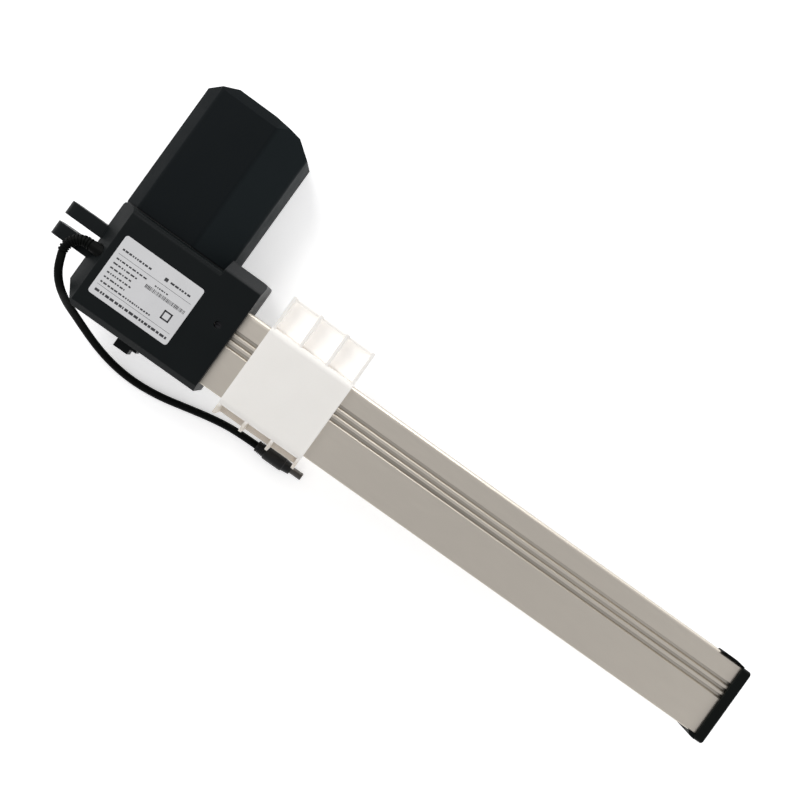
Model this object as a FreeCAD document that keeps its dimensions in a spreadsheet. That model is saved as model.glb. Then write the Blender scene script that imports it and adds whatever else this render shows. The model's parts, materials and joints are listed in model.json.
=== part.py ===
import FreeCAD, Part
import math
import os
import Sketcher
from FreeCAD import Vector, Rotation, Placement

# Rail-type linear actuator, in millimetres. The origin is the middle of the rear clevis pin, +X runs along
# the rail, +Y along the motor and +Z out of the labelled face. The lead screw lies on the X axis.

DRIVING = {
    "wall": 2.5, "front_face": 20.0, "back_face": 49.0, "case_left": 11.0, "case_right": 119.0,
    "case_top": 41.7, "case_low": 42.6, "case_shoulder": 32.4, "case_step": 90.5, "left_bevel": 11.5,
    "low_bevel": 4.2, "corner_cut": 13.0, "top_bevel": 8.0,
    "worm_centre": 19.0, "motor_axis": 42.0, "motor_radius": 26.5, "motor_near": 26.0, "motor_far": 121.0,
    "cover_left": 9.2, "cover_right": 89.2, "cover_flat_left": 20.4, "cover_flat_right": 62.9,
    "cover_top": 135.2, "cover_half": 30.0, "gasket_thick": 0.8,
    "rail_start": 95.0, "rail_end": 527.7, "rail_top": 20.3, "rail_low": 36.0, "rail_half": 15.0,
    "rail_wall": 2.5, "slot_half": 7.3, "groove_deep": 1.4, "groove_wide": 3.2, "groove_gap": 5.0,
    "groove_first": 6.1,
    "cap_thick": 7.6, "cap_lip": 3.2,
    "carriage_start": 136.5, "carriage_long": 65.0, "carriage_half": 46.5, "carriage_front": 19.5,
    "carriage_foot": 49.0, "sleeve_gap": 0.4, "sleeve_top": 22.1, "sleeve_low": 39.3, "flange_thick": 2.2,
    "rib_thick": 2.0, "bore_drop": 34.0, "bore_radius": 5.1, "tube_radius": 12.0,
    "screw_radius": 6.0, "journal_radius": 4.0, "screw_start": 62.0, "screw_end": 519.0,
    "ear_radius": 9.5, "ear_reach": 17.5, "ear_inner": 3.1, "ear_outer": 12.6, "pin_radius": 5.1,
    "label_wide": 60.8, "label_tall": 43.7, "label_thick": 0.3,
    "gear_module": 1.0, "wheel_teeth": 28.0, "worm_pitch_radius": 5.0, "wheel_face": 9.0,
    "cable_radius": 2.75, "relief_height": 14.4, "plug_radius": 5.4,
}

# The cable's route, from the tip of the strain relief, down to the surface and along to the plug.
CABLE_ROUTE = [
    (-0.9, -18.2, 14.4), (1.6, -25.8, 14.4), (5.0, -33.0, 11.4), (8.4, -38.8, 5.4), (11.2, -43.4, -3.4),
    (13.6, -47.2, -12.6), (18.4, -51.0, -21.2), (25.4, -55.6, -29.0), (34.6, -60.6, -35.8),
    (46.0, -65.2, -41.6), (60.0, -68.4, -45.2), (76.0, -69.2, -46.0), (95.0, -67.2, -46.0),
    (114.0, -62.8, -46.0), (133.0, -58.4, -45.2), (152.0, -55.4, -43.5), (171.0, -55.4, -43.5),
]
RELIEF_TURN = 108.0

HOUSING_SCREWS = [(18.5, 21.0), (34.0, -36.0), (85.0, -36.0), (106.0, 31.0)]
COVER_SCREWS = (32.0, 52.0)
BEARING_STARTS = (24.6, 50.1)
RAIL_SCREW = (107.3, 1.9)
RIB_COUNT = 4

doc = FreeCAD.newDocument("Actuator")
sheet = doc.addObject("Spreadsheet::Sheet", "Sizes")
pieces = []


class Size:
    """A length with its value in millimetres and the sheet formula that it comes from."""

    def __init__(self, value, text):
        self.value = value
        self.text = text

    def __add__(self, other):
        other = as_size(other)
        return Size(self.value + other.value, f"({self.text} + {other.text})")

    def __sub__(self, other):
        other = as_size(other)
        return Size(self.value - other.value, f"({self.text} - {other.text})")

    def __mul__(self, factor):
        return Size(self.value * factor, f"({self.text} * {factor})")

    def __neg__(self):
        return Size(-self.value, f"(-1 * {self.text})")

    def __radd__(self, other):
        return as_size(other) + self

    def __rsub__(self, other):
        return as_size(other) - self


def as_size(value):
    return value if isinstance(value, Size) else Size(float(value), f"{float(value):.6f}")


def fill_sheet():
    """Writes the driving sizes to the sheet, one row each, and gives back a Size for each name."""
    found = {}
    for row, (name, value) in enumerate(DRIVING.items(), start=1):
        sheet.set(f"A{row}", name)
        sheet.set(f"B{row}", str(value))
        sheet.setAlias(f"B{row}", name)
        found[name] = Size(value, f"Sizes.{name}")
    doc.recompute()
    return found


S = fill_sheet()


def bind(thing, prop, size):
    """Ties a property to the sheet through a size's formula."""
    thing.setExpression(prop, as_size(size).text + " * 1 mm")


def place(thing, x, y, z):
    for axis, size in zip("xyz", (x, y, z)):
        bind(thing, f"Placement.Base.{axis}", size)


def keep(thing, label):
    """Names a finished sub-part; its label is its file's name."""
    thing.Label = label
    pieces.append(thing)
    return thing


def box(name, low, high):
    """A block between two corners."""
    made = doc.addObject("Part::Box", name)
    sizes = [as_size(b) - as_size(a) for a, b in zip(low, high)]
    for prop, size in zip(("Length", "Width", "Height"), sizes):
        bind(made, prop, size)
    place(made, *low)
    return made


AXIS_TURN = {"x": Rotation(Vector(0, 1, 0), 90), "y": Rotation(Vector(1, 0, 0), -90), "z": Rotation()}


def rod(name, axis, start, radius, length):
    """A round bar that starts at a point and runs along +x, +y or +z."""
    made = doc.addObject("Part::Cylinder", name)
    bind(made, "Radius", radius)
    bind(made, "Height", length)
    made.Placement = Placement(Vector(), AXIS_TURN[axis])
    place(made, *start)
    return made


def cone(name, axis, start, radius, end_radius, length):
    """As rod, but with a different radius at its far end."""
    made = doc.addObject("Part::Cone", name)
    bind(made, "Radius1", radius)
    bind(made, "Radius2", end_radius)
    bind(made, "Height", length)
    made.Placement = Placement(Vector(), AXIS_TURN[axis])
    place(made, *start)
    return made


def fuse(name, shapes):
    made = doc.addObject("Part::MultiFuse", name)
    made.Shapes = shapes
    return made


def cut(name, base, tools):
    made = doc.addObject("Part::Cut", name)
    made.Base = base
    made.Tool = tools[0] if len(tools) == 1 else fuse(name + "Tools", tools)
    return made


def common(name, base, tool):
    made = doc.addObject("Part::Common", name)
    made.Base = base
    made.Tool = tool
    return made


def ring(name, axis, start, outer, inner, length):
    """A round bar with a round hole through it."""
    return cut(name, rod(name + "Outer", axis, start, outer, length),
               [rod(name + "Bore", axis, start, inner, length)])


def group(name, shapes):
    """Several separate solids in one node."""
    made = doc.addObject("Part::Compound", name)
    made.Links = shapes
    return made


def origin_plane(body, role):
    return [item for item in body.Origin.OriginFeatures if item.Role == role][0]


def outline(body, name, role, points, start):
    """A closed sketch of straight lines, each corner held by its two distances from the origin."""
    sketch = body.newObject("Sketcher::SketchObject", name)
    sketch.AttachmentSupport = [(origin_plane(body, role), "")]
    sketch.MapMode = "FlatFace"
    offset = -as_size(start) if role == "XZ_Plane" else as_size(start)
    bind(sketch, "AttachmentOffset.Base.z", offset)
    corners = [(as_size(a), as_size(b)) for a, b in points]
    ends = corners[1:] + corners[:1]
    for (a, b), (c, d) in zip(corners, ends):
        side = Part.LineSegment(Vector(a.value, b.value, 0), Vector(c.value, d.value, 0))
        sketch.addGeometry(side, False)
    count = len(corners)
    for index in range(count):
        sketch.addConstraint(Sketcher.Constraint("Coincident", index, 2, (index + 1) % count, 1))
    for index, corner in enumerate(corners):
        for kind, size in zip(("DistanceX", "DistanceY"), corner):
            number = sketch.addConstraint(Sketcher.Constraint(kind, -1, 1, index, 1, size.value))
            bind(sketch, f"Constraints[{number}]", size)
    return sketch


def pad(body, name, role, points, start, length):
    feature = body.newObject("PartDesign::Pad", name)
    feature.Profile = outline(body, name + "Outline", role, points, start)
    feature.Reversed = role == "XZ_Plane"
    bind(feature, "Length", length)
    return feature


def pocket(body, name, role, points, start, length):
    """Cuts the outline away from start, towards the plane's positive side along x, y or z."""
    feature = body.newObject("PartDesign::Pocket", name)
    feature.Profile = outline(body, name + "Outline", role, points, start)
    feature.Reversed = role != "XZ_Plane"
    bind(feature, "Length", length)
    return feature


def prism(name, role, points, start, length):
    body = doc.addObject("PartDesign::Body", name)
    pad(body, name + "Pad", role, points, start, length)
    return body


def round_edges(body, name, radius, pick):
    """Rounds the edges of a body that pick says yes to, given each edge's two ends."""
    doc.recompute()
    base = body.Tip
    chosen = []
    for number, edge in enumerate(base.Shape.Edges, start=1):
        ends = [v.Point for v in edge.Vertexes]
        if len(ends) == 2 and pick(*ends):
            chosen.append(f"Edge{number}")
    feature = body.newObject("PartDesign::Fillet", name)
    feature.Base = (base, chosen)
    bind(feature, "Radius", radius)
    return feature


def rectangle(low_a, low_b, high_a, high_b):
    return [(low_a, low_b), (high_a, low_b), (high_a, high_b), (low_a, high_b)]


def hollow(name, body, wall, at_open):
    """Makes a solid into a shell of one wall thickness, open where at_open says yes to a face."""
    doc.recompute()
    faces = [f"Face{n}" for n, face in enumerate(body.Shape.Faces, start=1) if at_open(face)]
    made = doc.addObject("Part::Thickness", name)
    made.Faces = (body, faces)
    made.Value = -wall.value
    bind(made, "Value", -wall)
    made.Join = 2
    return made


# ---- gearbox housing ------------------------------------------------------------------------------------

def case_outline():
    """The housing seen from the front: a block with a cut lower corner and a raised upper right shoulder."""
    return [
        (S["case_left"], S["case_shoulder"]), (S["case_left"], S["corner_cut"] - S["case_low"]),
        (S["case_left"] + S["corner_cut"], -S["case_low"]), (S["case_right"], -S["case_low"]),
        (S["case_right"], S["case_top"]), (S["case_step"], S["case_top"]),
        (S["case_step"], S["case_shoulder"]),
    ]


def on_line(a, b, y, z):
    """Whether an edge from a to b runs along x at this y and z."""
    return all(abs(p.y - y) < 0.01 and abs(p.z - z) < 0.01 for p in (a, b))


def round_corners(body, name):
    """Rounds the case's upright edges at its two upper corners."""
    right, left = S["case_right"].value, S["case_left"].value
    top, shoulder = S["case_top"].value, S["case_shoulder"].value

    def upper_right(a, b):
        return all(abs(p.x - right) < 0.01 and p.y > top - 0.01 for p in (a, b))

    def upper_left(a, b):
        return all(abs(p.x - left) < 0.01 and abs(p.y - shoulder) < 0.01 for p in (a, b))

    round_edges(body, name, 3.0, lambda a, b: upper_right(a, b) or upper_left(a, b))


def flat_at_z(height):
    return lambda face: abs(face.CenterOfMass.z - height) < 0.01 and abs(face.normalAt(0, 0).z) > 0.99


def case_openings(tag):
    """What both shells leave open: the rail, the clevis, the motor and the strain relief."""
    motor_mouth = rod(tag + "MotorMouth", "y", (S["motor_axis"], S["case_shoulder"] - 4, -S["worm_centre"]),
                      S["motor_radius"] + 0.1, 6)
    rail_mouth = box(tag + "RailMouth", (S["case_right"] - 4, -S["rail_low"], -S["rail_half"]),
                     (S["case_right"] + 1, S["rail_top"], S["rail_half"]))
    clevis_mouth = box(tag + "ClevisMouth", (S["case_left"] - 1, -S["ear_outer"], -S["ear_radius"]),
                       (S["case_left"] + 9, S["ear_outer"], S["ear_radius"]))
    return [motor_mouth, rail_mouth, clevis_mouth]


def bearing_seats(tag, low_z, high_z):
    """Two bulkheads across the case that hold the lead screw's bearings."""
    plates = []
    for n, start in enumerate(BEARING_STARTS):
        plate = box(f"{tag}Seat{n}", (start - 0.1, -S["case_shoulder"] + 14, low_z),
                    (start + 7.5, S["case_shoulder"] - 14, high_z))
        plates.append(plate)
    return plates


def seat_bores(tag):
    return [rod(f"{tag}SeatBore{n}", "x", (x - 1, 0, 0), 11.0, 9.6) for n, x in enumerate(BEARING_STARTS)]


def front_housing():
    body = doc.addObject("PartDesign::Body", "FrontBody")
    pad(body, "FrontBlock", "XY_Plane", case_outline(), 0, S["front_face"])
    round_corners(body, "FrontCorners")
    left, top = S["case_left"], S["front_face"]
    pocket(body, "LeftBevel", "XZ_Plane", [
        (left, top - S["left_bevel"]), (left + S["left_bevel"], top), (left, top)],
        -S["case_low"] - 1, S["case_low"] + S["case_top"] + 2)
    pocket(body, "LowBevel", "YZ_Plane", [
        (-S["case_low"], top - S["low_bevel"]), (-S["case_low"] + S["low_bevel"], top),
        (-S["case_low"], top)], S["case_left"] - 1, S["case_right"])
    pocket(body, "TopBevel", "YZ_Plane", [
        (S["case_top"], top - S["top_bevel"]), (S["case_top"] - S["top_bevel"], top), (S["case_top"], top)],
        S["case_step"] - 1, S["case_right"])
    shoulder = S["case_shoulder"].value
    round_edges(body, "ShoulderRound", 4.2, lambda a, b: on_line(a, b, shoulder, top.value))
    shell = hollow("FrontShell", body, S["wall"], flat_at_z(0))
    bosses = [
        rod(f"FrontBoss{n}", "z", (x, y, 0), 3.6, S["front_face"] - (10 if n == 0 else 2.6))
        for n, (x, y) in enumerate(HOUSING_SCREWS)
    ]
    seats = bearing_seats("Front", 0, S["front_face"] - 1)
    whole = fuse("FrontWhole", [shell] + bosses + seats)
    pilots = [rod(f"FrontPilot{n}", "z", (x, y, -1), 1.6, 10) for n, (x, y) in enumerate(HOUSING_SCREWS)]
    relief_hole = rod("ReliefHole", "x", (S["case_left"] - 2, -3.8, S["relief_height"]), 4.35, 16)
    rail_screw_hole = rod("RailScrewHole", "z", (*RAIL_SCREW, S["rail_half"] - 1), 2.5, 8)
    tools = case_openings("Front") + seat_bores("Front") + pilots + [relief_hole, rail_screw_hole]
    return keep(cut("FrontHousing", whole, tools), "front_housing")


def rear_housing():
    body = doc.addObject("PartDesign::Body", "RearBody")
    pad(body, "RearBlock", "XY_Plane", case_outline(), -S["back_face"], S["back_face"])
    round_corners(body, "RearCorners")
    pocket(body, "RightTaper", "XZ_Plane", [
        (S["case_right"], -16), (S["case_right"] + 1, -16), (S["case_right"] + 1, -S["back_face"] - 1),
        (S["case_right"] - 9, -S["back_face"] - 1)], -S["case_low"] - 1, S["case_low"] + S["case_top"] + 2)
    pocket(body, "BackEdge", "YZ_Plane", [
        (-S["case_low"], -S["back_face"] + 5), (-S["case_low"], -S["back_face"]),
        (-S["case_low"] + 5, -S["back_face"])], S["case_left"] - 1, S["case_right"])
    shell = hollow("RearShell", body, S["wall"], flat_at_z(0))
    bosses = [
        rod(f"RearBoss{n}", "z", (x, y, -S["back_face"] + 0.2), 4.4, S["back_face"] - 0.2)
        for n, (x, y) in enumerate(HOUSING_SCREWS)
    ]
    seats = bearing_seats("Rear", -S["back_face"] + 1, 0)
    tab = box("LowTab", (55.6, -S["case_low"] - 8, -12), (66.7, -S["case_low"] + 1, -3))
    step = box("LowStep", (66.3, -S["case_low"] - 4.2, -12), (71.1, -S["case_low"] + 1, -3))
    whole = fuse("RearWhole", [shell] + bosses + seats + [tab, step])
    holes = [
        rod(f"RearHole{n}", "z", (x, y, -S["back_face"] - 1), 1.7, S["back_face"] + 2)
        for n, (x, y) in enumerate(HOUSING_SCREWS)
    ]
    counterbores = [
        rod(f"Counterbore{n}", "z", (x, y, -S["back_face"] - 1), 3.3, 7)
        for n, (x, y) in enumerate(HOUSING_SCREWS)
    ]
    worm_way = rod("WormWay", "y", (S["motor_axis"], -S["case_shoulder"], -S["worm_centre"]), 7.2, 60)
    tools = case_openings("Rear") + seat_bores("Rear") + holes + counterbores + [worm_way]
    return keep(cut("RearHousing", whole, tools), "rear_housing")


def housing_screws():
    """Four pan-head screws from the back, through the rear shell into the front one."""
    made = []
    for n, (x, y) in enumerate(HOUSING_SCREWS):
        face = -S["back_face"] + 2.6
        head = rod(f"ScrewHead{n}", "z", (x, y, face), 3.0, 3.4)
        shank = rod(f"ScrewShank{n}", "z", (x, y, face), 1.5, S["back_face"] + 5)
        slot = box(f"ScrewSlot{n}", (x - 2.2, y - 0.4, face - 0.6), (x + 2.2, y + 0.4, face + 1.2))
        cross = box(f"ScrewCross{n}", (x - 0.4, y - 2.2, face - 0.6), (x + 0.4, y + 2.2, face + 1.2))
        made.append(cut(f"Screw{n}", fuse(f"ScrewBlank{n}", [head, shank]), [slot, cross]))
    return keep(group("HousingScrews", made), "housing_screws")


def rail_screw():
    """The screw that holds the rail's front wall to the front shell."""
    x, y = RAIL_SCREW
    head = rod("RailScrewHead", "z", (x, y, S["rail_half"] + 0.05), 2.3, 2.2)
    recess = box("RailScrewSlot", (x - 1.5, y - 0.35, S["rail_half"] + 1.4),
                 (x + 1.5, y + 0.35, S["rail_half"] + 3))
    return keep(cut("RailScrew", head, [recess]), "rail_screw")


def rating_label():
    """A thin stuck-on plate with rounded corners."""
    left = S["case_left"] + S["left_bevel"] + 5.2
    low = as_size(-28.5)
    body = prism("Label", "XY_Plane", rectangle(left, low, left + S["label_wide"], low + S["label_tall"]),
                 S["front_face"], S["label_thick"])
    round_edges(body, "LabelCorners", 2.0, lambda a, b: abs(a.z - b.z) > 0.1)
    return keep(body, "rating_label")


def rear_clevis():
    """Two ears on a base that sits between the shells, with a cross hole for the mounting pin."""
    reach, radius = S["ear_reach"], S["ear_radius"]
    ears = prism("ClevisEars", "XZ_Plane", rectangle(-reach, -radius, S["case_left"] + 11, radius),
                 -S["ear_outer"], S["ear_outer"] * 2)
    round_edges(ears, "EarRounds", radius - 3, lambda a, b: a.x < 0 and b.x < 0 and abs(a.y - b.y) > 1)
    flange = box("ClevisFlange", (S["case_left"] + S["wall"] + 0.1, -16, -13.2),
                 (S["case_left"] + 6, 16, 5.5))
    whole = fuse("ClevisWhole", [ears, flange])
    gap = box("ClevisGap", (-reach - 1, -S["ear_inner"], -radius - 1),
              (S["case_left"] + 2.5, S["ear_inner"], radius + 1))
    hole = rod("ClevisHole", "y", (0, -S["ear_outer"] - 1, 0), S["pin_radius"], S["ear_outer"] * 2 + 2)
    return keep(cut("RearClevis", whole, [gap, hole]), "rear_clevis")


# ---- motor and its cover --------------------------------------------------------------------------------

def cover_section(inset):
    """The cover's eight-sided section across the motor, as x and z."""
    centre, half = -S["worm_centre"], S["cover_half"]
    left, right = S["cover_left"] + inset, S["cover_right"] - inset
    return [
        (S["cover_flat_left"], centre + half - inset), (S["cover_flat_right"], centre + half - inset),
        (right, centre + half - 12), (right, centre - half + 12),
        (S["cover_flat_right"], centre - half + inset), (S["cover_flat_left"], centre - half + inset),
        (left, centre - half + 11), (left, centre + half - 11),
    ]


def cover_body(name, inset, start):
    """The cover's outer form, or the hollow inside it when inset by a wall."""
    body = doc.addObject("PartDesign::Body", name)
    left, right = S["cover_left"] + inset, S["cover_right"] - inset
    top = S["cover_top"] - inset * 1.1
    pad(body, name + "Block", "XZ_Plane", cover_section(inset), start, top - start)
    low, tall = -S["back_face"] - 1, S["back_face"] + S["front_face"]
    pocket(body, name + "LeftCut", "XY_Plane", [
        (left - 1, top - 11.2), (left + 19.5, top), (left - 1, top)], low, tall)
    pocket(body, name + "RightCut", "XY_Plane", [
        (right - 31.5, top), (right - 11, top - 2.4), (right + 1, top - 11.2), (right + 1, top)], low, tall)
    front = S["cover_half"] - S["worm_centre"] - inset
    pocket(body, name + "FrontBevel", "YZ_Plane", [(top - 6.8, front), (top, front - 4.5), (top, front)],
           left - 1, right - left + 2)
    back = inset - S["cover_half"] - S["worm_centre"]
    pocket(body, name + "BackBevel", "YZ_Plane", [(top - 6.8, back), (top, back + 4.5), (top, back)],
           left - 1, right - left + 2)
    return body


def motor_cover():
    outer = cover_body("CoverOuter", as_size(0), S["case_shoulder"] + S["gasket_thick"])
    round_edges(outer, "CoverEdges", 3.2, lambda a, b: abs(a.y - b.y) > 60)
    inner = cover_body("CoverInner", S["wall"], S["case_shoulder"])
    holes = [
        rod(f"CoverScrewHole{n}", "y", (x, S["cover_top"] - 6, -S["worm_centre"]), 1.7, 8)
        for n, x in enumerate(COVER_SCREWS)
    ]
    return keep(cut("MotorCover", outer, [inner] + holes), "motor_cover")


def cover_screws():
    """Two screws through the cover's end into the motor's end."""
    made = []
    for n, x in enumerate(COVER_SCREWS):
        head = rod(f"CoverScrewHead{n}", "y", (x, S["cover_top"], -S["worm_centre"]), 3.0, 1.8)
        shank = rod(f"CoverScrewShank{n}", "y", (x, S["motor_far"] + 3, -S["worm_centre"]), 1.5,
                    S["cover_top"] - S["motor_far"] - 2.5)
        slot = box(f"CoverScrewSlot{n}", (x - 2.2, S["cover_top"] + 1, -S["worm_centre"] - 0.4),
                   (x + 2.2, S["cover_top"] + 2, -S["worm_centre"] + 0.4))
        made.append(cut(f"CoverScrew{n}", fuse(f"CoverScrewBlank{n}", [head, shank]), [slot]))
    return keep(group("CoverScrews", made), "cover_screws")


def cover_gasket():
    """A thin frame between the housing's upper face and the cover's mouth."""
    low, thick = S["case_shoulder"], S["gasket_thick"]
    outer = prism("GasketOuter", "XZ_Plane", cover_section(0.6), low, thick)
    inner = prism("GasketInner", "XZ_Plane", cover_section(S["wall"]), low, thick)
    return keep(cut("CoverGasket", outer, [inner]), "cover_gasket")


def on_motor_axis(y):
    return (S["motor_axis"], y, -S["worm_centre"])


def motor_can():
    """A drawn steel can, closed at its far end."""
    outer = rod("CanOuter", "y", on_motor_axis(S["motor_near"] + 5), S["motor_radius"],
                S["motor_far"] - S["motor_near"] - 5)
    inner = rod("CanInner", "y", on_motor_axis(S["motor_near"] + 4), S["motor_radius"] - 1.8,
                S["motor_far"] - S["motor_near"] - 6)
    nose = rod("CanNose", "y", on_motor_axis(S["motor_far"] - 1), 7.5, 4)
    nose_bore = rod("CanNoseBore", "y", on_motor_axis(S["motor_far"] - 3), 3.1, 5)
    holes = [
        rod(f"CanHole{n}", "y", (x, S["motor_far"] - 3, -S["worm_centre"]), 1.6, 6)
        for n, x in enumerate(COVER_SCREWS)
    ]
    whole = fuse("CanWhole", [cut("CanShell", outer, [inner]), nose])
    return keep(cut("MotorCan", whole, [nose_bore] + holes), "motor_can")


def motor_end_bell():
    """The plastic end plate with the two brush holders."""
    disc = rod("BellDisc", "y", on_motor_axis(S["motor_near"]), S["motor_radius"], 5)
    spigot = rod("BellSpigot", "y", on_motor_axis(S["motor_near"] + 5), S["motor_radius"] - 1.9, 9)
    bowl = rod("BellBowl", "y", on_motor_axis(S["motor_near"] + 4), S["motor_radius"] - 4, 12)
    holders = [
        box(f"BrushHolder{n}", (S["motor_axis"] + low, S["motor_near"] + 3, -S["worm_centre"] - 4),
            (S["motor_axis"] + high, S["motor_near"] + 13, -S["worm_centre"] + 4))
        for n, (low, high) in enumerate(((-22.0, -10.5), (10.5, 22.0)))
    ]
    channels = [
        box(f"BrushChannel{n}", (S["motor_axis"] + low, S["motor_near"] + 5.4, -S["worm_centre"] - 2.2),
            (S["motor_axis"] + high, S["motor_near"] + 11.6, -S["worm_centre"] + 2.2))
        for n, (low, high) in enumerate(((-20.0, -10.0), (10.0, 20.0)))
    ]
    bore = rod("BellBore", "y", on_motor_axis(S["motor_near"] - 1), 6.0, 8)
    body = fuse("BellBody", [cut("BellCup", fuse("BellBlank", [disc, spigot]), [bowl])] + holders)
    return keep(cut("MotorEndBell", body, channels + [bore]), "motor_end_bell")


def brushes():
    made = [
        box(f"Brush{n}", (S["motor_axis"] + low, S["motor_near"] + 5.6, -S["worm_centre"] - 2),
            (S["motor_axis"] + high, S["motor_near"] + 11.4, -S["worm_centre"] + 2))
        for n, (low, high) in enumerate(((-18.0, -9.2), (9.2, 18.0)))
    ]
    return keep(group("Brushes", made), "carbon_brushes")


def magnets():
    """Two curved ferrite magnets inside the can."""
    made = []
    for n, side in enumerate((-1, 1)):
        tube = ring(f"MagnetRing{n}", "y", on_motor_axis(S["motor_near"] + 22), S["motor_radius"] - 1.9,
                    S["motor_radius"] - 6, 62)
        low, high = (-30.0, -6.0) if side < 0 else (6.0, 30.0)
        half = box(f"MagnetHalf{n}", (S["motor_axis"] - 30, S["motor_near"] + 20, -S["worm_centre"] + low),
                   (S["motor_axis"] + 30, S["motor_near"] + 86, -S["worm_centre"] + high))
        made.append(common(f"Magnet{n}", tube, half))
    return keep(group("Magnets", made), "motor_magnets")


def motor_bushes():
    """Sintered bushes for the motor shaft: in the end bell, in the can's nose and behind the worm."""
    made = [
        ring("BushBell", "y", on_motor_axis(S["motor_near"] + 0.2), 5.9, 3.05, 5.5),
        ring("BushWorm", "y", on_motor_axis(-S["case_shoulder"] + 3), 6.6, 3.05, 6),
    ]
    return keep(group("MotorBushes", made), "motor_bushes")


def motor_shaft():
    shaft = rod("MotorShaftRod", "y", on_motor_axis(-S["case_shoulder"] + 3), 3.0,
                S["motor_far"] + S["case_shoulder"] - 1)
    return keep(shaft, "motor_shaft")


def armature():
    """A laminated rotor with twelve open slots."""
    core = rod("ArmatureCore", "y", on_motor_axis(S["motor_near"] + 25), S["motor_radius"] - 7, 56)
    bore = rod("ArmatureBore", "y", on_motor_axis(S["motor_near"] + 24), 3.0, 58)
    slots = []
    for n in range(12):
        slot = box(f"ArmatureSlot{n}", (-1.1, S["motor_near"] + 24, S["motor_radius"] - 12.5),
                   (1.1, S["motor_near"] + 82, S["motor_radius"] - 6))
        holder = group(f"ArmatureTurn{n}", [slot])
        holder.Placement = Placement(Vector(0, 0, 0), Rotation(Vector(0, 1, 0), 30 * n))
        place(holder, S["motor_axis"], 0, -S["worm_centre"])
        slots.append(holder)
    return keep(cut("Armature", core, [bore] + slots), "armature")


def windings():
    """The copper end turns at both ends of the rotor."""
    made = []
    for n, start in enumerate((20.4, 85.6)):
        coil = doc.addObject("Part::Torus", f"EndTurns{n}")
        bind(coil, "Radius1", S["motor_radius"] - 14)
        bind(coil, "Radius2", 4.6)
        coil.Placement = Placement(Vector(), AXIS_TURN["y"])
        place(coil, S["motor_axis"], S["motor_near"] + start, -S["worm_centre"])
        made.append(coil)
    return keep(group("Windings", made), "winding_end_turns")


def commutator():
    drum = rod("CommutatorDrum", "y", on_motor_axis(S["motor_near"] + 5.8), 8.8, 7)
    bore = rod("CommutatorBore", "y", on_motor_axis(S["motor_near"] + 5), 3.0, 10)
    return keep(cut("Commutator", drum, [bore]), "commutator")


# ---- worm drive and lead screw --------------------------------------------------------------------------

def trapezoid(points):
    return Part.makePolygon([Vector(*p) for p in points + points[:1]])


def thread_solid(pitch, length, root, tip, base_half, tip_half):
    """A trapezoidal thread wound round the Z axis."""
    helix = Part.makeHelix(pitch, length, root)
    profile = trapezoid([(root - 0.4, 0, -base_half), (tip, 0, -tip_half), (tip, 0, tip_half),
                         (root - 0.4, 0, base_half)])
    return Part.Wire(helix.Edges).makePipeShell([profile], True, True)


def worm():
    """A single-start worm on the motor shaft. Its thread faces the wheel with a crest at y = 0."""
    module = S["gear_module"].value
    pitch = math.pi * module
    pitch_radius = S["worm_pitch_radius"].value
    root, tip = pitch_radius - 1.2 * module, pitch_radius + 0.9 * module
    turns = 7.5
    thread = thread_solid(pitch, turns * pitch, root, tip, 1.1, 0.34)
    core = Part.makeCylinder(root, 34, Vector(0, 0, -5))
    blank = core.fuse(thread)
    solid = blank.cut(Part.makeCylinder(3.0, 60, Vector(0, 0, -20)))
    made = doc.addObject("Part::Feature", "Worm")
    made.Shape = solid.removeSplitter()
    # the helix starts on the local +X side; local Z goes to +Y and local X to +Z, the side of the wheel
    turn = Rotation(Vector(0, 0, 1), Vector(1, 0, 0), Vector(0, 1, 0), "ZXY")
    made.Placement = Placement(Vector(S["motor_axis"].value, -3 * pitch, -S["worm_centre"].value), turn)
    return keep(made, "worm")


def worm_wheel():
    """A wheel on the lead screw, with gaps slanted to the worm's lead."""
    module = S["gear_module"].value
    teeth = int(S["wheel_teeth"].value)
    face = S["wheel_face"].value
    pitch_radius = module * teeth / 2
    tip = pitch_radius + 0.8 * module
    lead = math.degrees(math.atan(module / (2 * S["worm_pitch_radius"].value)))
    root = pitch_radius - 1.4 * module
    blank = Part.makeCylinder(tip, face, Vector(0, 0, -face / 2))
    hub = Part.makeCylinder(8, face + 4, Vector(0, 0, -face / 2 - 2))
    mouth = 1.1 + 0.364 * 1.9
    gap_points = [(root, -0.58, 0), (tip + 1, -mouth, 0), (tip + 1, mouth, 0), (root, 0.58, 0)]
    gap = Part.Face(trapezoid(gap_points)).extrude(Vector(0, 0, 3 * face))
    gap.translate(Vector(0, 0, -1.5 * face))
    gap.rotate(Vector(0, 0, 0), Vector(1, 0, 0), -lead)
    gaps = []
    for n in range(teeth):
        turned = gap.copy()
        turned.rotate(Vector(0, 0, 0), Vector(0, 0, 1), 360.0 * n / teeth)
        gaps.append(turned)
    bore = Part.makeCylinder(S["journal_radius"].value, 40, Vector(0, 0, -20))
    solid = blank.cut(gaps).fuse(hub).cut(bore)
    made = doc.addObject("Part::Feature", "WormWheel")
    made.Shape = solid.removeSplitter()
    # local Z goes to +X and local X to -Z, so that a gap faces the worm below
    turn = Rotation(Vector(0, 0, -1), Vector(0, 1, 0), Vector(1, 0, 0), "ZXY")
    made.Placement = Placement(Vector(S["motor_axis"].value, 0, 0), turn)
    return keep(made, "worm_wheel")


def lead_screw():
    """A threaded bar at its outside diameter, with plain journals at both ends."""
    rear = rod("ScrewRear", "x", (24.5, 0, 0), S["journal_radius"], S["screw_start"] - 24.5)
    thread = rod("ScrewThread", "x", (S["screw_start"], 0, 0), S["screw_radius"],
                 S["screw_end"] - S["screw_start"])
    end = rod("ScrewEnd", "x", (S["screw_end"], 0, 0), S["journal_radius"], 10)
    return keep(fuse("LeadScrew", [rear, thread, end]), "lead_screw")


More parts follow.
